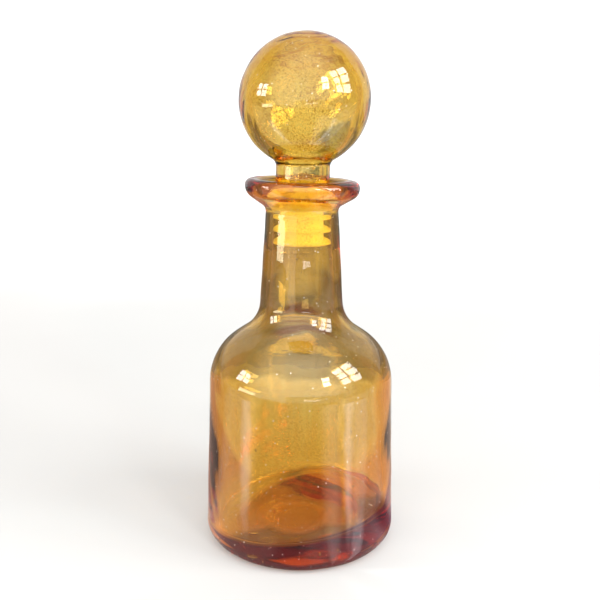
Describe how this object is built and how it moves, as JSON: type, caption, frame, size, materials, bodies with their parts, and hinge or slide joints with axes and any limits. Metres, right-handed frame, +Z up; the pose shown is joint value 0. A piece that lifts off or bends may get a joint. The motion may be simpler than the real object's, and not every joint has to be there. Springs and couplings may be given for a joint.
{
  "type": "stoppered glass decanter",
  "caption": "Blown amber glass decanter with a round shoulder, flared lip and heavy uneven base, closed by a hollow ball stopper that seals in the neck with a ribbed plastic sleeve.",
  "frame": {"origin": "middle of the foot, on the surface that the bottle stands on", "axes": "+Z up along the bottle's axis; +X towards the side where the base is thickest; the picture looks along +Y"},
  "size_m": [0.0896, 0.0896, 0.2312],
  "materials": {
    "amber_bottle_glass": "clear amber, blown, with seeds and swirls",
    "milky_plastic": "translucent natural polyethylene",
    "amber_stopper_glass": "clear amber, blown, with swirls"
  },
  "bodies": {
    "bottle": {"bottle": "amber_bottle_glass"},
    "sleeve": {"stopper_sleeve": "milky_plastic"},
    "stopper": {"ball_stopper": "amber_stopper_glass"}
  },
  "joints": [
    {"name": "stopper_lift", "type": "slide", "parent": "bottle", "child": "sleeve", "axis": [0, 0, 1], "range_m": [0, 0.062]},
    {"name": "stopper_twist", "type": "hinge", "parent": "sleeve", "child": "stopper", "pos_m": [0, 0, 0.15], "axis": [0, 0, 1], "continuous": true}
  ]
}
